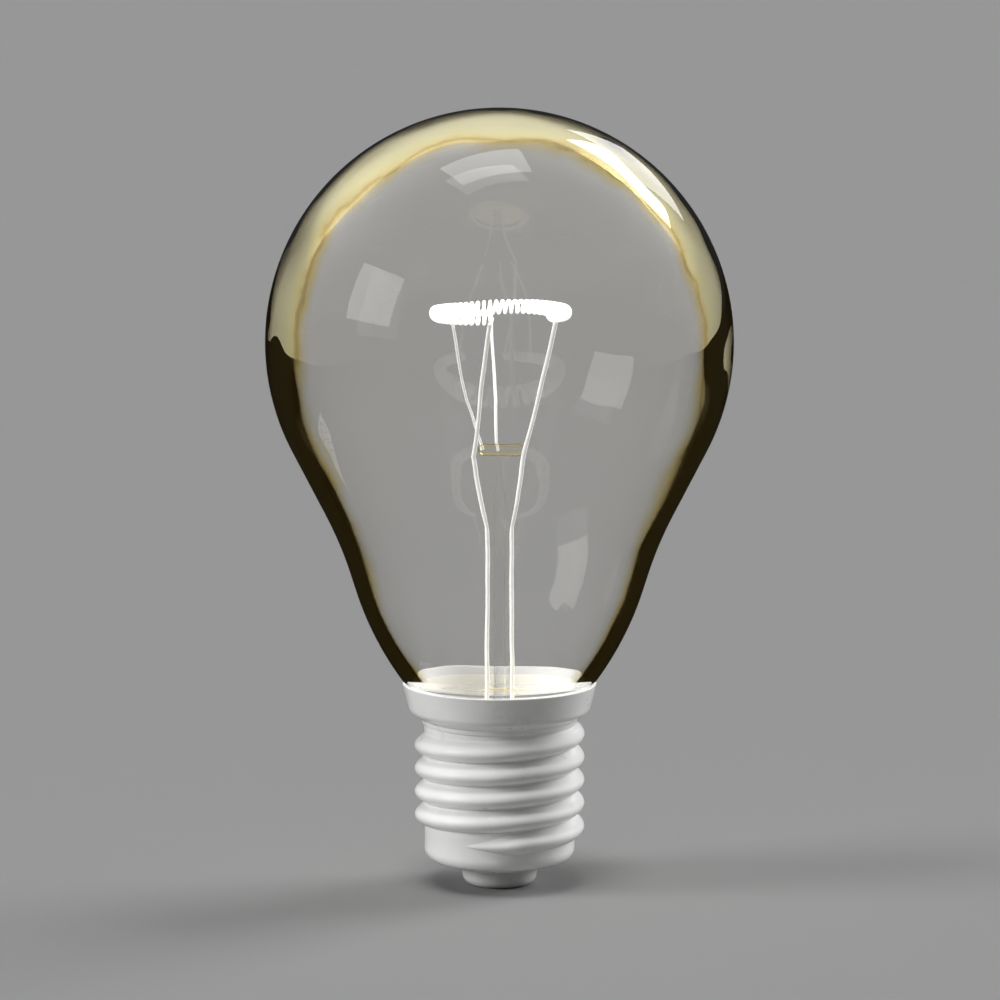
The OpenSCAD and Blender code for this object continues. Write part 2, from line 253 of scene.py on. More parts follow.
def glass_material(name, ior, stops, sway_share, absorbs, density, wave_scale, wave_depth):
    """Clear glass that turns amber and then brown towards its edges, with a slightly uneven surface. Its stops may
    also paint light and shade by how edge on the glass is seen, as the bulb's do.
    """
    material, tree, shader = new_material(name)
    shader.inputs["Roughness"].default_value = 0.0
    shader.inputs["IOR"].default_value = ior
    shader.inputs["Metallic"].default_value = 0.0
    shader.inputs["Transmission Weight"].default_value = 1.0
    surface = placed(tree, MOTTLE, wave_scale, wave_scale * 4, 0.1)
    sway = maths(tree, "MULTIPLY", maths(tree, "SUBTRACT", surface.outputs["Patches"], 0.5), sway_share)
    facing = add(tree, "ShaderNodeLayerWeight", {"Blend": 0.5}).outputs["Facing"]
    outside = add(tree, "ShaderNodeAttribute", attribute_name="outside").outputs["Fac"]
    # how edge on the glass is seen; the bulb's stops paint a caustic line, a shade line and a dark rim by it
    edge = maths(tree, "MULTIPLY", maths(tree, "ADD", facing, sway), outside)
    tint = ramp(tree, edge, stops)
    tree.links.new(tint, shader.inputs["Base Color"])
    sheen = ramp(tree, outside, [(0.0, grey(0.15)), (1.0, grey(1.0))])
    tree.links.new(sheen, shader.inputs["Specular Tint"])
    bumped(tree, shader, surface.outputs["Height"], 0.1, wave_depth)
    volume = add(tree, "ShaderNodeVolumeAbsorption", {"Color": (*absorbs, 1), "Density": density})
    tree.links.new(volume.outputs["Volume"], tree.nodes["Material Output"].inputs["Volume"])
    return material


def enamel_material(name, colour, roughness, coat):
    """White stoved paint: faint uneven tone, fine orange peel, slightly uneven gloss."""
    material, tree, shader = new_material(name)
    surface = placed(tree, MOTTLE, 180.0, 1400.0, 0.45)
    darker = tuple(c * 0.93 for c in colour)
    tone = ramp(tree, surface.outputs["Patches"], [(0.3, darker), (0.62, colour)])
    tree.links.new(tone, shader.inputs["Base Color"])
    gloss = add(tree, "ShaderNodeMapRange",
                {"Value": surface.outputs["Patches"], "From Min": 0.3, "From Max": 0.7,
                 "To Min": roughness * 0.8, "To Max": roughness * 1.25})
    tree.links.new(gloss.outputs["Result"], shader.inputs["Roughness"])
    shader.inputs["Coat Weight"].default_value = coat
    shader.inputs["Coat Roughness"].default_value = 0.12
    bumped(tree, shader, surface.outputs["Height"], 0.12, 0.00004)
    return material


def metal_material(name, colour, dark, roughness, metallic, grain_scale, painted_glow=0.0):
    """Drawn or soldered metal with fine uneven tone; a painted glow, when given, makes it glow as painted light."""
    material, tree, shader = new_material(name)
    surface = placed(tree, MOTTLE, grain_scale, grain_scale * 5, 0.5)
    tone = ramp(tree, surface.outputs["Patches"], [(0.3, dark), (0.65, colour)])
    tree.links.new(tone, shader.inputs["Base Color"])
    shader.inputs["Metallic"].default_value = metallic
    if painted_glow:
        tree.links.new(tone, shader.inputs["Emission Color"])
        shader.inputs["Emission Strength"].default_value = painted_glow
    gloss = add(tree, "ShaderNodeMapRange",
                {"Value": surface.outputs["Patches"], "To Min": roughness * 0.7, "To Max": roughness * 1.3})
    tree.links.new(gloss.outputs["Result"], shader.inputs["Roughness"])
    bumped(tree, shader, surface.outputs["Height"], 0.2, 0.00003)
    return material


def filament_material():
    """Bare white coil wire, slightly darker in its faint grain, painted with a white glow though the burnt-out coil
    is no lamp.
    """
    material, tree, shader = new_material("filament_white")
    surface = placed(tree, MOTTLE, 900.0, 4000.0, 0.5)
    tone = ramp(tree, surface.outputs["Patches"], [(0.3, grey(0.9)), (0.7, (0.98, 0.98, 0.95))])
    tree.links.new(tone, shader.inputs["Base Color"])
    # painted glow: the coil's own colour goes to its emission, so it glows white
    tree.links.new(tone, shader.inputs["Emission Color"])
    shader.inputs["Emission Strength"].default_value = 0.75
    shader.inputs["Roughness"].default_value = 0.6
    bumped(tree, shader, surface.outputs["Height"], 0.2, 0.00002)
    return material


# painted glow on the cement, so the inside of the cap looks lit
CEMENT_PAINTED_GLOW = 0.14


def cement_material():
    """Cream cap cement, fine and chalky, painted whiter above the end of the glass where light falls in through the
    bulb, and given a faint painted glow all over.
    """
    material, tree, shader = new_material("cream_cement")
    surface = placed(tree, MOTTLE, 350.0, 2500.0, 0.6)
    cream = ramp(tree, surface.outputs["Patches"],
                 [(0.3, (0.9, 0.8, 0.48)), (0.65, (0.98, 0.89, 0.58))])
    where = add(tree, "ShaderNodeTexCoord").outputs["Object"]
    height = add(tree, "ShaderNodeSeparateXYZ", {"Vector": where}).outputs["Z"]
    # painted light: above the end of the glass the cement is mixed towards white
    lit_top = add(tree, "ShaderNodeMapRange", {"Value": height, "From Min": (GLASS_END - 1.0) * MM,
                                             "From Max": (GLASS_END - 0.5) * MM}).outputs["Result"]
    tone = add(tree, "ShaderNodeMix", {0: lit_top, 6: cream, 7: (0.95, 0.935, 0.87, 1)}, data_type="RGBA").outputs[2]
    tree.links.new(tone, shader.inputs["Base Color"])
    tree.links.new(tone, shader.inputs["Emission Color"])
    shader.inputs["Emission Strength"].default_value = CEMENT_PAINTED_GLOW
    shader.inputs["Roughness"].default_value = 0.85
    bumped(tree, shader, surface.outputs["Height"], 0.5, 0.00012)
    return material


# ---------------------------------------------------------------- glass bulb

BALL_R = (glass_high.x - glass_low.x) / 2 / MM
GLASS_TOP = glass_high.z / MM
GLASS_END = glass_low.z / MM
RIM_R = (cap_high.x - cap_low.x) / 2 / MM
RIM_Z = cap_high.z / MM
BALL_Z = GLASS_TOP - BALL_R
SHOULDER_SLOPE = 27.2
SHOULDER_RUN = 11.2
WAIST_R = 58.6
WAIST_SLOPE = 17.6
WAIST_RUN = 3.0
THROAT_R = 49.0
CROWN_WALL = 4.45
NECK_WALL = 2.4
NECK_WALL_Z = 42.0
CROWN_WALL_Z = 100.0
SEAL_R = 13.75
SEAL_SLOPE = 15.0
TUCK_Z = RIM_Z + 0.35
BALL_INSIDE_R = 31.0
RIPPLE = 0.12
RIPPLE_SIZE = 11.0
RIPPLE_FADE = 8.0
EDGE_FACING = 0.518
SEEN_DOWN = 0.137
TINT_FADE = 2.7


def slope_point(slope):
    """Outward direction of a surface that leans by this slope, in degrees."""
    return math.cos(math.radians(slope)), -math.sin(math.radians(slope))


def glass_outside():
    """The bulb's outer line from crown to neck, as (radius, height, tilt in degrees)."""
    def bent(centre, radius, start, end, steps, side):
        turn = [start + (end - start) * k / steps for k in range(steps + 1)]
        return [(centre[0] + side * radius * math.cos(math.radians(a)),
                 centre[1] + side * radius * math.sin(math.radians(a)), a) for a in turn]

    out = slope_point(SHOULDER_SLOPE)
    start = (BALL_R * out[0], BALL_Z + BALL_R * out[1])
    run = (start[0] + SHOULDER_RUN * out[1], start[1] - SHOULDER_RUN * out[0])
    waist_c = (run[0] + WAIST_R * out[0], run[1] + WAIST_R * out[1])
    low = slope_point(WAIST_SLOPE)
    waist = (waist_c[0] - WAIST_R * low[0], waist_c[1] - WAIST_R * low[1])
    straight = (waist[0] + WAIST_RUN * low[1], waist[1] - WAIST_RUN * low[0])
    throat_c = (straight[0] - THROAT_R * low[0], straight[1] - THROAT_R * low[1])
    throat_slope = math.degrees(math.asin((throat_c[1] - TUCK_Z) / THROAT_R))
    tuck_r = SEAL_R + (RIM_Z - GLASS_END) * math.tan(math.radians(SEAL_SLOPE))
    line = bent((0, BALL_Z), BALL_R, 90, -SHOULDER_SLOPE, 70, 1)
    line += [(start[0] + (run[0] - start[0]) * k / 6, start[1] + (run[1] - start[1]) * k / 6,
              -SHOULDER_SLOPE) for k in range(1, 6)]
    line += bent(waist_c, WAIST_R, -SHOULDER_SLOPE, -WAIST_SLOPE, 10, -1)
    line += bent(throat_c, THROAT_R, -WAIST_SLOPE, -throat_slope, 14, 1)
    line += [(tuck_r, RIM_Z, -SEAL_SLOPE), (SEAL_R, GLASS_END, -SEAL_SLOPE)]
    return line


def wall_at(z):
    """Wall thickness at a height: thickest over the ball, thin at the neck."""
    return NECK_WALL + (CROWN_WALL - NECK_WALL) * smooth((z - NECK_WALL_Z) / (CROWN_WALL_Z - NECK_WALL_Z))


def make_glass():
    """The blown bulb as one wall, with a slightly rippled inside."""
    outside = glass_outside()
    inside = []
    for r, z, tilt in outside:
        wall, a = wall_at(z), math.radians(tilt)
        if z > GLASS_END + 0.1:
            inside.append((max(r - wall * math.cos(a), 0.0), z - wall * math.sin(a)))
    neck_bore = SEAL_R - NECK_WALL / math.cos(math.radians(SEAL_SLOPE))
    outline = [(max(r, 0.0), z) for r, z, _ in outside] + [(neck_bore, GLASS_END)] + inside[::-1]
    inner_points = set((round(r, 6), round(z, 6)) for r, z in inside)
    outer_line = sorted((z, r, tilt) for r, z, tilt in outside)

    def rippled(r, z, angle):
        if (round(r, 6), round(z, 6)) not in inner_points or r < 1e-6:
            return r, z
        here = Vector((r * math.cos(angle), r * math.sin(angle), z)) / RIPPLE_SIZE
        swell = noise.noise(here) + 0.3 * noise.noise(here * 2 + Vector((7, 3, 1)))
        # no ripple at the neck and at the crown's middle
        swell *= RIPPLE * min(1.0, max(0.0, (z - RIM_Z) / RIPPLE_FADE)) * min(1.0, r / 6.0)
        rise = (z - BALL_Z) * swell / BALL_INSIDE_R if z > BALL_Z else 0.0
        return r + swell * min(1.0, r), z + rise

    def tint_share(co):
        r, z = math.hypot(co.x, co.y) / MM, co.z / MM
        lean = 0.0
        for (z0, r0, tilt0), (z1, r1, tilt1) in zip(outer_line, outer_line[1:]):
            if z0 - 1e-6 <= z <= z1 + 1e-6:
                share = (z - z0) / max(z1 - z0, 1e-9)
                lean = math.radians(min(0.0, tilt0 + (tilt1 - tilt0) * share))
                if r < r0 + (r1 - r0) * share - 0.6:
                    return 0.0
        # the tint and its painted caustic and shade lines follow the inner edge of the wall, seen a little from
        # above, and end at the cap's rim
        round_r = BALL_R if z > BALL_Z else r
        inner = 1 - wall_at(z) / math.cos(lean) / round_r
        facing = 1 - (math.cos(lean) * math.sqrt(1 - inner * inner) + math.sin(lean) * SEEN_DOWN)
        return EDGE_FACING / facing * smooth((z - RIM_Z + 0.2) / TINT_FADE)

    obj = revolved("glass_bulb", outline, 192, rippled)
    mark_outside(obj, tint_share)
    obj.visible_shadow = False
    return obj


# ---------------------------------------------------------------- filament and wires

def geometry_tree(name, inputs):
    """A geometry node tree with named inputs, its input and output nodes, and its sockets' identifiers."""
    tree = bpy.data.node_groups.new(name, "GeometryNodeTree")
    tree.interface.new_socket("Geometry", in_out="INPUT", socket_type="NodeSocketGeometry")
    for label, kind in inputs:
        tree.interface.new_socket(label, in_out="INPUT", socket_type=kind)
    tree.interface.new_socket("Geometry", in_out="OUTPUT", socket_type="NodeSocketGeometry")
    names = {s.name: s.identifier for s in tree.interface.items_tree if s.in_out == "INPUT"}
    return tree, tree.nodes.new("NodeGroupInput"), tree.nodes.new("NodeGroupOutput"), names


def grown(obj, tree, names, values):
    """Runs a geometry node tree on an object and keeps the result as its plain mesh."""
    modifier = obj.modifiers.new("made", "NODES")
    modifier.node_group = tree
    for label, value in values.items():
        modifier[names[label]] = value
    bpy.context.view_layer.update()
    made = bpy.data.meshes.new_from_object(obj.evaluated_get(bpy.context.evaluated_depsgraph_get()))
    obj.modifiers.remove(modifier)
    obj.data = made
    tidy(obj)
    return obj


def wire_tree():
    """Turns a line of points into a round wire with rounded bends."""
    tree, entry, leave, names = geometry_tree("round_wire", [
        ("Wire Radius", "NodeSocketFloat"), ("Bend Radius", "NodeSocketFloat"),
        ("Sides", "NodeSocketInt"), ("Finish", "NodeSocketMaterial")])
    line = add(tree, "GeometryNodeMeshToCurve", {"Mesh": entry.outputs["Geometry"]})
    bends = add(tree, "GeometryNodeFilletCurve",
                {"Curve": line.outputs["Curve"], "Radius": entry.outputs["Bend Radius"],
                 "Count": 6, "Limit Radius": True}, mode="POLY")
    section = add(tree, "GeometryNodeCurvePrimitiveCircle",
                  {"Resolution": entry.outputs["Sides"], "Radius": entry.outputs["Wire Radius"]})
    tube = add(tree, "GeometryNodeCurveToMesh",
               {"Curve": bends.outputs["Curve"], "Profile Curve": section.outputs["Curve"], "Fill Caps": True})
    real = add(tree, "GeometryNodeRealizeInstances", {"Geometry": tube.outputs["Mesh"]})
    finish = add(tree, "GeometryNodeSetMaterial",
                 {"Geometry": real.outputs["Geometry"], "Material": entry.outputs["Finish"]})
    tree.links.new(finish.outputs["Geometry"], leave.inputs["Geometry"])
    return tree, names


def coil_tree():
    """Winds a round wire into a coil, and bends the coil along part of a flat ring."""
    tree, entry, leave, names = geometry_tree("bent_coil", [
        ("Ring Radius", "NodeSocketFloat"), ("Ring Height", "NodeSocketFloat"),
        ("Turn Radius", "NodeSocketFloat"), ("Wire Radius", "NodeSocketFloat"),
        ("Turns", "NodeSocketFloat"), ("Start", "NodeSocketFloat"), ("Sweep", "NodeSocketFloat"),
        ("Steps", "NodeSocketInt"), ("Slack", "NodeSocketFloat"), ("Finish", "NodeSocketMaterial")])
    line = add(tree, "GeometryNodeMeshLine", {"Count": entry.outputs["Steps"]}, mode="OFFSET")
    curve = add(tree, "GeometryNodeMeshToCurve", {"Mesh": line.outputs["Mesh"]}).outputs["Curve"]
    last = maths(tree, "SUBTRACT", entry.outputs["Steps"], 1)
    share = maths(tree, "DIVIDE", add(tree, "GeometryNodeInputIndex").outputs["Index"], last)
    # the turns stand a little closer or wider along the coil
    wander = maths(tree, "SINE", maths(tree, "MULTIPLY", share, 13.0))
    slack = maths(tree, "MULTIPLY", wander, entry.outputs["Slack"])
    along = maths(tree, "ADD", share, slack)
    turn = maths(tree, "ADD", maths(tree, "MULTIPLY", along, entry.outputs["Sweep"]), entry.outputs["Start"])
    phase = maths(tree, "MULTIPLY", maths(tree, "MULTIPLY", share, entry.outputs["Turns"]), 2 * math.pi)
    reach = maths(tree, "ADD", entry.outputs["Ring Radius"],
                  maths(tree, "MULTIPLY", maths(tree, "COSINE", phase), entry.outputs["Turn Radius"]))
    up = maths(tree, "ADD", entry.outputs["Ring Height"],
               maths(tree, "MULTIPLY", maths(tree, "SINE", phase), entry.outputs["Turn Radius"]))
    place = add(tree, "ShaderNodeCombineXYZ",
                {"X": maths(tree, "MULTIPLY", reach, maths(tree, "COSINE", turn)),
                 "Y": maths(tree, "MULTIPLY", reach, maths(tree, "SINE", turn)), "Z": up})
    wound = add(tree, "GeometryNodeSetPosition", {"Geometry": curve, "Position": place.outputs["Vector"]})
    section = add(tree, "GeometryNodeCurvePrimitiveCircle",
                  {"Resolution": 10, "Radius": entry.outputs["Wire Radius"]})
    tube = add(tree, "GeometryNodeCurveToMesh",
               {"Curve": wound.outputs["Geometry"], "Profile Curve": section.outputs["Curve"],
                "Fill Caps": True})
    real = add(tree, "GeometryNodeRealizeInstances", {"Geometry": tube.outputs["Mesh"]})
    finish = add(tree, "GeometryNodeSetMaterial",
                 {"Geometry": real.outputs["Geometry"], "Material": entry.outputs["Finish"]})
    tree.links.new(finish.outputs["Geometry"], leave.inputs["Geometry"])
    return tree, names


COIL_R = (coil_high.z - coil_low.z) / 2
RING_Z = (coil_high.z + coil_low.z) / 2
RING_R = coil_high.y - COIL_R
COIL_WIRE = 0.28 * MM
COIL_TURNS = 51
COIL_START = -38
COIL_SWEEP = 302


def make_filament(material):
    """The coiled filament, open at the front right between its two leads."""
    tree, names = coil_tree()
    obj = link(bpy.data.objects.new("filament_coil", bpy.data.meshes.new("filament_coil")))
    return grown(obj, tree, names, {
        "Ring Radius": RING_R, "Ring Height": RING_Z, "Turn Radius": COIL_R - COIL_WIRE,
        "Wire Radius": COIL_WIRE, "Turns": float(COIL_TURNS),
        "Start": math.radians(COIL_START), "Sweep": math.radians(COIL_SWEEP),
        "Steps": COIL_TURNS * 22, "Slack": 0.0035, "Finish": material})


def on_ring(angle, drop):
    """A point below the middle of the coil, in millimetres."""
    a = math.radians(angle)
    return (RING_R / MM * math.cos(a), RING_R / MM * math.sin(a), (RING_Z - COIL_R) / MM + drop)


LEAD_X = 1.93
LEAD_R = 0.33
SUPPORT_R = 0.23
SEAL_TOP_Z = 29.8
PRESS_Z = 57.3
TIP_DROP = 0.25

WIRES = [
    # name, radius, points from the stem up to the coil
    ("lead_wire_left", LEAD_R, [(-LEAD_X, 0, SEAL_TOP_Z), (-LEAD_X, 0, PRESS_Z), (-3.91, -0.75, 67.6),
                                on_ring(262, TIP_DROP)]),
    ("lead_wire_right", LEAD_R, [(LEAD_X, 0, SEAL_TOP_Z), (LEAD_X, 0, PRESS_Z), (3.76, -1.38, 68.2),
                                 on_ring(-30, TIP_DROP)]),
    ("support_wire_left", SUPPORT_R, [(-2.5, 0, 68.6), (-2.9, 0.1, 69.9), (-4.94, -2.5, 76.4),
                                      on_ring(222, TIP_DROP)]),
    ("support_wire_rear", SUPPORT_R, [(-0.1, 0, 68.5), (-0.4, 0.2, 69.9), (-0.3, 2.5, 76),
                                      on_ring(97, TIP_DROP)]),
]


def make_wires(material):
    """The two leads and the two supports, each one bent wire."""
    tree, names = wire_tree()
    made = []
    for name, radius, points in WIRES:
        mesh = bpy.data.meshes.new(name + "_round")
        mesh.from_pydata([Vector(p) * MM for p in points], [(k, k + 1) for k in range(len(points) - 1)], [])
        obj = link(bpy.data.objects.new(name + "_round", mesh))
        grown(obj, tree, names, {"Wire Radius": radius * MM, "Bend Radius": 0.4 * MM,
                                 "Sides": 20, "Finish": material})
        made.append((obj, name))
    return made


# ---------------------------------------------------------------- stem

STEM_R = 1.58
BEAD_Z = 68.65
BEAD_R = 1.04
BEAD_HALF = 3.65
BEAD_SHIFT = 0.35
PRESS_HALF_Y = 0.8
BORE_R = 0.83
BORE_TOP_Z = 66.4


def make_stem():
    """The stem: a flare on the neck, a tube and a flat press, with a bore up the middle; the round bead along its
    top is a piece of its own.
    """
    sides = 48
    rings = []

    def ring(z, half_x, half_y, shift=0.0, roundness=2.0):
        row = []
        for k in range(sides):
            a = 2 * math.pi * k / sides
            c, s = math.cos(a), math.sin(a)
            power = 2.0 / roundness
            row.append((shift + half_x * math.copysign(abs(c) ** power, c),
                        half_y * math.copysign(abs(s) ** power, s), z))
        rings.append(row)

    flare_low = GLASS_END - 1.5
    for r, z in [(SEAL_R - 1.4, flare_low), (SEAL_R - 0.35, GLASS_END - 0.8), (SEAL_R - 2.8, GLASS_END - 0.05),
                 (SEAL_R - 4.4, GLASS_END + 0.0), (6.0, GLASS_END + 0.02), (3.6, GLASS_END + 0.12),
                 (2.6, GLASS_END + 0.35), (1.95, GLASS_END + 0.75), (1.66, GLASS_END + 1.3),
                 (STEM_R, GLASS_END + 2.0)]:
        ring(z, r, r)
    for k in range(1, 12):
        z = GLASS_END + 2.0 + (PRESS_Z - 1.0 - GLASS_END - 2.0) * k / 11
        ring(z, STEM_R, STEM_R)
    # the press widens and flattens up to the bead
    for k in range(1, 15):
        u = k / 14
        z = PRESS_Z - 1.0 + (BEAD_Z - BEAD_R * 0.98 - PRESS_Z + 1.0) * u
        ring(z, STEM_R + (BEAD_HALF - 0.35 - STEM_R) * u, STEM_R + (PRESS_HALF_Y - STEM_R) * smooth(u),
             BEAD_SHIFT * u, 2.0 + 1.6 * u)
    outer = len(rings)
    # the bore up the middle, nearly closed at its top
    for k in range(9):
        z = flare_low + 0.3 + (BORE_TOP_Z - flare_low - 0.3) * k / 8
        bore = BORE_R * (0.2 if k == 8 else 1.0)
        ring(z, bore, bore)
    points = [Vector(p) * MM for row in rings for p in row]
    faces = tube_faces(0, outer - 1, sides) + tube_faces(outer, len(rings) - 1, sides)
    obj = mesh_object("stem_body", points, faces)
    for face in obj.data.polygons:
        if all(math.hypot(*obj.data.vertices[v].co[:2]) < BORE_R * 1.02 * MM for v in face.vertices):
            face.flip()
    mark_outside(obj, lambda co: 1.0)
    obj.visible_shadow = False
    return obj


def make_bead():
    """The round bead of glass along the top of the press, which holds the support wires."""
    rows, columns = 20, 40
    points = []
    for j in range(rows + 1):
        a = math.pi * (j / rows - 0.5)
        for k in range(columns):
            b = 2 * math.pi * k / columns
            straight = math.copysign(BEAD_HALF - BEAD_R, math.cos(b)) if abs(math.cos(b)) > 1e-9 else 0.0
            points.append((Vector((BEAD_SHIFT + straight + BEAD_R * math.cos(a) * math.cos(b),
                                   BEAD_R * 0.95 * math.cos(a) * math.sin(b),
                                   BEAD_Z + BEAD_R * 0.95 * math.sin(a))) * MM))
    obj = mesh_object("stem_bead", points, tube_faces(0, rows, columns))
    mark_outside(obj, lambda co: 1.0)
    obj.visible_shadow = False
    return obj


# ---------------------------------------------------------------- cap shell

ROOT_R = 11.63
CREST_R = 13.15
PITCH = 3.63
THREAD_Z = 7.88
THREAD_TURNS = 165 / 36
FIRST_ANGLE = -120.0
SHEET = 0.3
CAP_EDGE_R = 9.8
CAP_EDGE_Z = cap_low.z / MM
CORNER_R = 1.8
NECK_TOP_Z = 25.55
UNDER_Z = 26.15
TAPER_R, TAPER_Z = 14.1, 27.96
TURN_R = 1.75
RUN_IN = 0.14
RUN_OUT = 0.2
RIDGE_FILL = 0.93
UNDERCUT = 0.43
UNDER_ROUNDING = 0.6
THREAD_TOP_Z = NECK_TOP_Z - 0.28
THREAD_FADE = 0.7


def thread_rise(angle, z):
    """How far the thread stands out of the shell at an angle in degrees and a height."""
    rise = 0.0
    first = (angle - FIRST_ANGLE) % 360 / 360
    for k in range(-1, int(THREAD_TURNS) + 2):
        turns = first + k
        if not 0 <= turns <= THREAD_TURNS:
            continue
        size = smooth(min(turns / RUN_IN, (THREAD_TURNS - turns) / RUN_OUT))
        full = PITCH * RIDGE_FILL * (0.12 + 0.88 * size)
        off = z - THREAD_Z - PITCH * turns
        share = off / (full * (1 - UNDERCUT)) if off > 0 else -off / (full * UNDERCUT)
        if share < 1:
            shape = math.cos(math.pi * share / 2) ** (1.0 if off > 0 else UNDER_ROUNDING)
            rise = max(rise, (CREST_R - ROOT_R) * size * shape)
    # the thread dies out under the ring at the top
    return rise * smooth((THREAD_TOP_Z - z) / THREAD_FADE)


def grid_faces(rows, columns, first, after):
    """Faces of a grid of columns. after(column, row) gives the point that a point joins in the next column."""
    faces = []
    for column in range(columns):
        for row in range(rows - 1):
            here = [first + column * rows + row, first + column * rows + row + 1]
            there = [first + after(column, row), first + after(column, row + 1)]
            faces.append((here[0], there[0], there[1], here[1]))
    return faces


def shell_side(inset):
    """One side of the sheet: the rings below the thread, the threaded wall and the rings above it."""
    corner = arc((ROOT_R - CORNER_R, CAP_EDGE_Z + CORNER_R), CORNER_R - inset, -90, 0, 8)
    low = [(CAP_EDGE_R, CAP_EDGE_Z + inset)] + corner
    taper = math.atan((RIM_R - TAPER_R) / (RIM_Z - TAPER_Z))
    turn_c = (TAPER_R - TURN_R * math.cos(taper), TAPER_Z + TURN_R * math.sin(taper))
    bend = arc(turn_c, TURN_R - inset, -68, -math.degrees(taper), 12)
    high = [(ROOT_R - inset, THREAD_TOP_Z), (ROOT_R + 0.26 - inset, NECK_TOP_Z - 0.2),
            (ROOT_R + 0.36 - inset, NECK_TOP_Z - 0.06), (ROOT_R + 0.38 - inset, UNDER_Z - 0.2 + inset / 2),
            (ROOT_R + 0.42 - inset, UNDER_Z - 0.04 + inset / 2), (ROOT_R + 0.6 - inset, UNDER_Z + inset / 2)]
    high += bend + [(RIM_R - inset - 0.02, RIM_Z - 0.12)]
    return low, high


SHELL_COLUMNS = 180
ROWS_PER_TURN = 36


def make_shell():
    """The rolled shell as one closed sheet: lower edge, round thread and flared rim."""
    points, faces = [], []
    ends = []
    for inset in (0.0, SHEET):
        low, high = shell_side(inset)
        bottom, top = low[-1][1], high[0][1]
        thread_rows = int((top - bottom + PITCH) / PITCH * ROWS_PER_TURN) + 2
        rows = len(low) + thread_rows + len(high)
        first = len(points)
        for column in range(SHELL_COLUMNS):
            angle = 360 * column / SHELL_COLUMNS
            line = list(low)
            for k in range(thread_rows):
                climbed = bottom - PITCH + PITCH * (column / SHELL_COLUMNS + k / ROWS_PER_TURN)
                z = min(max(climbed, bottom), top)
                line.append((ROOT_R - inset + thread_rise(angle, z), z))
            line += high
            a = math.radians(angle)
            points += [(r * MM * math.cos(a), r * MM * math.sin(a), z * MM) for r, z in line]

        def after(column, row, rows=rows, low_count=len(low), thread_rows=thread_rows):
            if column < SHELL_COLUMNS - 1:
                return (column + 1) * rows + row
            if low_count <= row < low_count + thread_rows:
                return min(row + ROWS_PER_TURN, low_count + thread_rows - 1)
            return row

        faces += grid_faces(rows, SHELL_COLUMNS, first, after)
        ends.append((first, rows))
    # the lower edge and the rounded rim join the two sides
    (outer, outer_rows), (inner, inner_rows) = ends
    crown = len(points)
    for column in range(SHELL_COLUMNS):
        a = 2 * math.pi * column / SHELL_COLUMNS
        for r, z in ((RIM_R - 0.08, RIM_Z - 0.03), (RIM_R - SHEET / 2, RIM_Z), (RIM_R - SHEET + 0.08, RIM_Z - 0.03)):
            points.append((r * MM * math.cos(a), r * MM * math.sin(a), z * MM))
    for column in range(SHELL_COLUMNS):
        after_column = (column + 1) % SHELL_COLUMNS
        here = [outer + column * outer_rows + outer_rows - 1, crown + column * 3, crown + column * 3 + 1,
                crown + column * 3 + 2, inner + column * inner_rows + inner_rows - 1]
        there = [outer + after_column * outer_rows + outer_rows - 1, crown + after_column * 3,
                 crown + after_column * 3 + 1, crown + after_column * 3 + 2,
                 inner + after_column * inner_rows + inner_rows - 1]
        faces += [(here[k], there[k], there[k + 1], here[k + 1]) for k in range(4)]
        faces.append((outer + column * outer_rows, inner + column * inner_rows,
                      inner + after_column * inner_rows, outer + after_column * outer_rows))
    obj = mesh_object("screw_shell", points, faces)
    bm = bmesh.new()
    bm.from_mesh(obj.data)
    bmesh.ops.dissolve_degenerate(bm, dist=0.03 * MM, edges=bm.edges)
    bm.to_mesh(obj.data)
    bm.free()
    tidy(obj)
    return obj


# ---------------------------------------------------------------- cement, insulator, contact

def make_cement():
    """The cream cement ring under the neck, a little uneven on top."""
    hole, low_z, top_z = 2.6, UNDER_Z + SHEET + 0.06, RIM_Z - 1.3
    flare_under = GLASS_END - 1.5
    neck_top = SEAL_R + (top_z - GLASS_END) * math.tan(math.radians(SEAL_SLOPE))
    taper = math.atan((RIM_R - TAPER_R) / (RIM_Z - TAPER_Z))
    turn_c = (TAPER_R - TURN_R * math.cos(taper), TAPER_Z + TURN_R * math.sin(taper))
    outline = [(hole, low_z), (ROOT_R, low_z)]
    outline += arc(turn_c, TURN_R - SHEET - 0.12, -68, -math.degrees(taper), 8)
    outline += [(neck_top + 0.12, top_z), (neck_top + 0.06, top_z), (SEAL_R + 0.06, GLASS_END),
                (SEAL_R - 0.24, GLASS_END - 0.85), (SEAL_R - 1.4, flare_under - 0.06)]
    outline += [(r, flare_under - 0.06) for r in (11.0, 9.0, 7.0, 5.0, 3.5, hole)]
    return revolved("cement_ring", outline, 120)


def make_contact():
    """The centre contact: a shallow dished cap with a rounded edge."""
    low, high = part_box("centre_contact")
    top_r, top_z = high.x / MM, high.z / MM
    round_r, sheet, flat_r, hole = 1.5, 0.4, 4.25, 1.1
    outline = [(hole, 0.0), (flat_r - 0.3, 0.0)]
    outline += arc((flat_r, round_r), round_r, -90, 0, 12)
    outline += [(top_r - 0.08, top_z - 0.08), (top_r, top_z), (top_r - sheet, top_z)]
    outline += arc((flat_r, round_r), round_r - sheet, 0, -90, 8)
    outline += [(hole, sheet)]
    return revolved("contact_cup", outline, 96)


def make_solder():
    """The solder blob that fills the contact's hole, flush with its underside."""
    outline = [(0.0, 0.0), (0.8, 0.0), (1.1, 0.05), (1.1, 0.4), (0.0, 0.4)]
    return revolved("contact_blob", outline, 48)


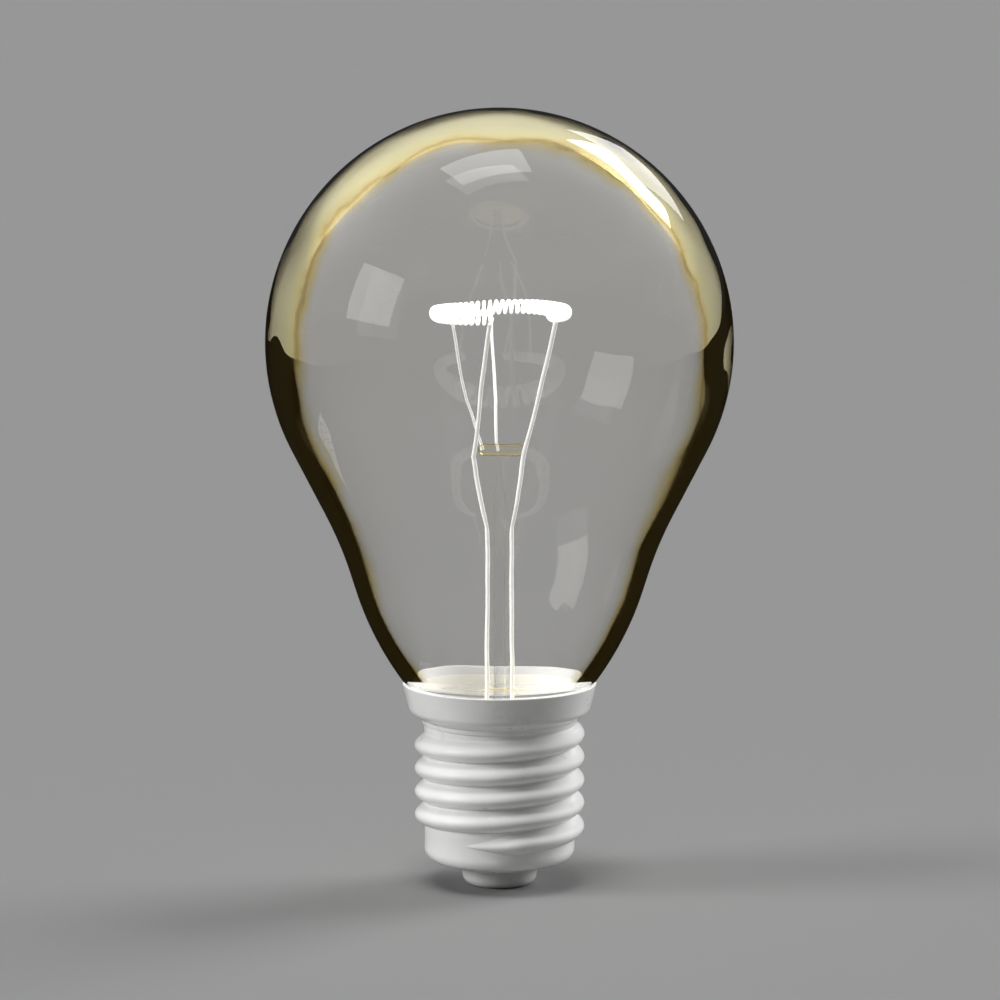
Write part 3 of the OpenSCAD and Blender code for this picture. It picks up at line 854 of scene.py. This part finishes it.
def make_insulator():
    """The insulator between the shell and the contact."""
    outline = [(0.7, 0.4)]
    outline += arc((4.25, 1.5), 1.1, -90, 0, 8)
    outline += [(5.55, 2.7), (5.95, 2.7), (6.3, 2.78), (CAP_EDGE_R - 0.4, CAP_EDGE_Z - 0.2),
                (CAP_EDGE_R - 0.06, CAP_EDGE_Z - 0.02), (CAP_EDGE_R - 0.05, CAP_EDGE_Z + SHEET + 0.05),
                (ROOT_R - CORNER_R, CAP_EDGE_Z + SHEET + 0.05), (ROOT_R - SHEET - 0.08, 4.9),
                (ROOT_R - SHEET - 0.08, 6.2), (6.0, 7.4), (0.7, 7.4)]
    return revolved("cap_disc", outline, 96)


# ---------------------------------------------------------------- build

# Amber of the thick wall seen edge on, with painted light and shade in it: a painted gold caustic line with a
# painted dark shade line in its middle (0.485 to 0.525, at the inner edge of the wall), and a painted dark rim
# towards the outline (from 0.785).
BULB_TINT_AND_PAINTED_LINES = [(0.0, grey(1.0)), (0.41, (0.99, 0.985, 0.97)), (0.45, (0.96, 0.86, 0.56)), (0.485, (0.98, 0.66, 0.12)),
             (0.505, (0.5, 0.3, 0.06)), (0.525, (0.92, 0.66, 0.16)), (0.56, (0.95, 0.82, 0.27)),
             (0.6, (0.91, 0.8, 0.32)), (0.72, (0.77, 0.68, 0.32)), (0.785, (0.32, 0.25, 0.1)),
             (0.84, (0.06, 0.045, 0.02)), (1.0, (0.02, 0.015, 0.006))]
STEM_TINT = [(0.0, grey(1.0)), (0.6, (0.98, 0.975, 0.96)), (0.85, (0.82, 0.77, 0.6)), (1.0, (0.6, 0.52, 0.3))]
CLEAR = glass_material("clear_amber_glass", 1.48, BULB_TINT_AND_PAINTED_LINES, 0.2, (0.93, 0.82, 0.5), 12.0, 110.0, 0.00001)
STEM_GLASS = glass_material("stem_amber_glass", 1.07, STEM_TINT, 0.0, (0.9, 0.8, 0.5), 20.0, 200.0, 0.00001)
BEAD_TINT = [(0.0, (1, 0.97, 0.88)), (0.3, (0.9, 0.8, 0.5)), (0.5, (0.72, 0.48, 0.12)), (0.7, (0.25, 0.15, 0.03)),
             (1.0, (0.12, 0.07, 0.015))]
BEAD_GLASS = glass_material("bead_amber_glass", 1.42, BEAD_TINT, 0.0, (0.9, 0.8, 0.5), 20.0, 200.0, 0.00001)
# the wires get a painted glow of 0.22, so they glow white though they are no lamp
WIRE = metal_material("drawn_wire", (0.95, 0.95, 0.93), (0.84, 0.84, 0.82), 0.45, 0.0, 500.0, 0.22)
COPPER = metal_material("bare_copper", (0.8, 0.48, 0.32), (0.62, 0.34, 0.22), 0.35, 1.0, 500.0)
SEAL = metal_material("clad_wire", (0.8, 0.6, 0.5), (0.66, 0.46, 0.38), 0.35, 1.0, 500.0)
SOLDER = metal_material("dull_solder", (0.72, 0.72, 0.73), (0.52, 0.52, 0.54), 0.35, 0.9, 500.0)
FILAMENT = filament_material()
SHELL = enamel_material("white_stoved_shell", (0.84, 0.84, 0.835), 0.32, 0.3)
INSULATOR = enamel_material("white_glazed_disc", (0.82, 0.82, 0.81), 0.3, 0.4)
# painted shade: the contact is grey, darker than the white cap, for the shade under the bulb
CONTACT_PAINTED_SHADE = enamel_material("white_contact_metal", (0.6, 0.6, 0.59), 0.35, 0.2)
CEMENT = cement_material()

set_piece(make_glass(), CLEAR, "clear_glass", "glass_envelope")
set_piece(make_stem(), STEM_GLASS, "stem_glass", "stem_glass")
set_piece(make_bead(), BEAD_GLASS, "stem_glass")
set_piece(make_filament(FILAMENT), FILAMENT, "filament", "filament")
for wire, node in make_wires(WIRE):
    set_piece(wire, WIRE, "lead_wire" if node.startswith("lead") else "support_wire", node)
set_piece(make_shell(), SHELL, "white_shell", "cap_shell")
set_piece(make_cement(), CEMENT, "cement", "basing_cement")
set_piece(make_contact(), CONTACT_PAINTED_SHADE, "white_contact", "centre_contact")
set_piece(make_solder(), SOLDER, "solder", "contact_solder")
set_piece(make_insulator(), INSULATOR, "white_insulator", "cap_insulator")

KEPT = {"exhaust_tip": STEM_GLASS, "seal_wire_left": SEAL, "seal_wire_right": SEAL,
        "outer_lead_side": COPPER, "outer_lead_centre": COPPER, "side_solder": SOLDER}
for node, material in KEPT.items():
    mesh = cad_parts[node].data
    mesh.materials.clear()
    mesh.materials.append(material)


# ---------------------------------------------------------------- camera, floor and lights

VIEW_HEIGHT = 0.0600
VIEW_DISTANCE = 0.676
VIEW_DOWN = math.radians(7.9)
VIEW_SIDE = 0.00008


def make_camera():
    """A long lens a little above the bulb, looking slightly down."""
    data = bpy.data.cameras.new("camera")
    data.sensor_width = 36.0
    data.lens = 158.4
    camera = link(bpy.data.objects.new("camera", data))
    camera.location = (VIEW_SIDE, -VIEW_DISTANCE * math.cos(VIEW_DOWN),
                       VIEW_HEIGHT + VIEW_DISTANCE * math.sin(VIEW_DOWN))
    camera.rotation_euler = (math.pi / 2 - VIEW_DOWN, 0, 0)
    bpy.context.scene.camera = camera


FLOOR_TONE = 0.235
FLOOR_PAINTED_DARK_IN_EDGES = (0.012, 0.009, 0.004)


def make_floor():
    """A wide plain pale floor. Gloss and the glass edges see the same floor nearly black: a painted dark floor that
    paints shade into their reflections.
    """
    material, tree, shader = new_material("pale_floor")
    surface = placed(tree, MOTTLE, 6.0, 40.0, 0.3)
    tone = ramp(tree, surface.outputs["Patches"],
                [(0.3, grey(FLOOR_TONE * 0.985)), (0.7, grey(FLOOR_TONE))])
    path = add(tree, "ShaderNodeLightPath").outputs
    plain = maths(tree, "MAXIMUM", path["Is Camera Ray"], maths(tree, "GREATER_THAN", path["Diffuse Depth"], 0.5))
    straight = maths(tree, "MAXIMUM", plain, maths(tree, "GREATER_THAN", path["Transmission Depth"], 2.5))
    straight = maths(tree, "MAXIMUM", straight, path["Is Diffuse Ray"])
    # painted shade: the floor turns nearly black for glossy rays and shallow glass rays
    seen = add(tree, "ShaderNodeMix", {0: straight, 6: (*FLOOR_PAINTED_DARK_IN_EDGES, 1), 7: tone}, data_type="RGBA")
    tree.links.new(seen.outputs[2], shader.inputs["Base Color"])
    shader.inputs["Roughness"].default_value = 0.9
    shader.inputs["Specular IOR Level"].default_value = 0.0
    sides = 64
    points = [(12 * math.cos(2 * math.pi * k / sides), 12 * math.sin(2 * math.pi * k / sides), 0.0)
              for k in range(sides)]
    mesh = bpy.data.meshes.new("floor")
    mesh.from_pydata(points, [], [tuple(range(sides))])
    floor = link(bpy.data.objects.new("floor", mesh))
    mesh.materials.append(material)


def face_along(obj, direction):
    """Turns a lamp so that it shines from a direction towards the bulb."""
    obj.rotation_mode = "QUATERNION"
    obj.rotation_quaternion = direction.to_track_quat("Z", "Y")


def make_box(name, towards, distance, width, height, brightness, aim=(0, 0, 0.07)):
    """A soft box that the glass and the gloss mirror, standing in a direction from the bulb."""
    data = bpy.data.lights.new(name, "AREA")
    data.shape = "RECTANGLE"
    data.size, data.size_y = width, height
    data.energy = brightness * math.pi * width * height
    lamp = link(bpy.data.objects.new(name, data))
    direction = Vector(towards).normalized()
    lamp.location = Vector(aim) + direction * distance
    face_along(lamp, direction)
    lamp.visible_camera = False
    lamp.visible_diffuse = False


def make_sun(name, towards, strength, softness):
    """Soft even light from a direction, the same near and far over the floor."""
    data = bpy.data.lights.new(name, "SUN")
    data.energy = strength
    data.angle = math.radians(softness)
    lamp = link(bpy.data.objects.new(name, data))
    face_along(lamp, Vector(towards).normalized())
    lamp.visible_camera = False
    lamp.visible_glossy = False
    lamp.visible_transmission = False


def make_world():
    """An even pale surround. Gloss sees it dark near the floor, and glass sees it lightest half way up."""
    world = bpy.data.worlds.new("surround")
    bpy.context.scene.world = world
    world.use_nodes = True
    tree = world.node_tree
    path = add(tree, "ShaderNodeLightPath").outputs
    where = add(tree, "ShaderNodeTexCoord").outputs["Generated"]
    height = add(tree, "ShaderNodeSeparateXYZ", {"Vector": where}).outputs["Z"]
    in_edges = ramp(tree, height, [(0.0, grey(0.45)), (0.15, grey(0.56)), (0.34, grey(0.98)), (0.62, grey(0.98)),
                                   (0.85, grey(0.66))])
    # light that went round the wall more than once is left out
    late = maths(tree, "GREATER_THAN", path["Ray Depth"], 4.5)
    in_edges = add(tree, "ShaderNodeMix", {0: late, 6: in_edges, 7: (*grey(0.02), 1)}, data_type="RGBA").outputs[2]
    in_middle = ramp(tree, height, [(0.0, grey(0.31)), (0.25, grey(0.34)), (0.6, grey(0.5))])
    deep = maths(tree, "GREATER_THAN", path["Transmission Depth"], 2.5)
    through = add(tree, "ShaderNodeMix", {0: deep, 6: in_edges, 7: in_middle}, data_type="RGBA").outputs[2]
    mirrored = ramp(tree, height, [(0.0, grey(0.03)), (0.4, grey(0.05)), (0.6, grey(0.4)), (1.0, grey(0.4))])
    plain = add(tree, "ShaderNodeMix", {0: path["Is Glossy Ray"], 6: (*grey(0.12), 1), 7: mirrored},
                data_type="RGBA").outputs[2]
    shown = add(tree, "ShaderNodeMix", {0: path["Is Transmission Ray"], 6: plain, 7: through},
                data_type="RGBA").outputs[2]
    tree.links.new(shown, tree.nodes["Background"].inputs["Color"])
    tree.nodes["Background"].inputs["Strength"].default_value = 1.0


make_camera()
make_floor()
make_world()
make_box("left_box", (-0.86, -0.35, 0.37), distance=1.1, width=0.5, height=0.42, brightness=2.6)
make_box("top_box", (-0.07, 0.2, 0.98), distance=1.2, width=0.54, height=0.36, brightness=2.6)
make_box("right_rear_box", (0.4, 0.8, 0.45), distance=1.1, width=0.42, height=0.3, brightness=2.4)
make_sun("left_light", (-0.93, -0.18, 0.32), strength=2.4, softness=24)
make_sun("top_light", (-0.1, -0.22, 0.97), strength=1.8, softness=26)
make_sun("right_rear_light", (0.84, 0.5, 0.36), strength=3.7, softness=36)

bpy.context.scene.view_settings.view_transform = "Standard"
